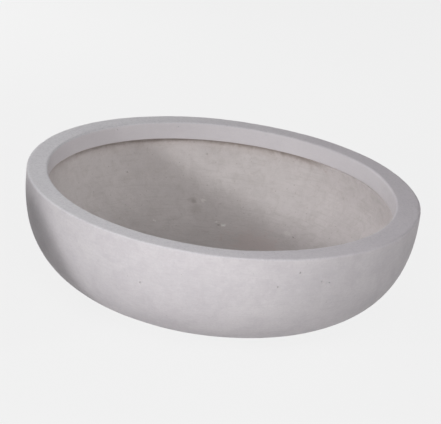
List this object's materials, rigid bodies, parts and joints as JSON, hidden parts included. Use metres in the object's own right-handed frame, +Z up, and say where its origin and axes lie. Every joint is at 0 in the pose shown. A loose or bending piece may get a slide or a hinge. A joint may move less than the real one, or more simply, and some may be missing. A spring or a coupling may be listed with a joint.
{
  "type": "bowl planter",
  "caption": "Round shallow planter bowl of fibre-reinforced cement with a flat broad rim that overhangs a rough inside, rubber feet and a lift-out drain stopper.",
  "frame": {"origin": "on the floor under the middle of the bowl, at the soles of the feet", "axes": "+Z up along the bowl's axis; +X and +Y level, the feet on the diagonals between them"},
  "size_m": [0.4998, 0.4998, 0.147],
  "materials": {
    "face_cement": "matte",
    "backing_cement": "matte",
    "glass_fibre": "satin",
    "stopper_rubber": "matte",
    "foot_rubber": "matte"
  },
  "bodies": {
    "bowl": {"face_coat": "face_cement", "glass_fibre_net": "glass_fibre", "backing_coat": "backing_cement", "foot_pad_1": "foot_rubber", "foot_pad_2": "foot_rubber", "foot_pad_3": "foot_rubber", "foot_pad_4": "foot_rubber"},
    "stopper": {"drain_stopper": "stopper_rubber"}
  },
  "joints": [
    {"name": "stopper_lift", "type": "slide", "parent": "bowl", "child": "stopper", "axis": [0, 0, 1], "range_m": [0, 0.15]}
  ]
}
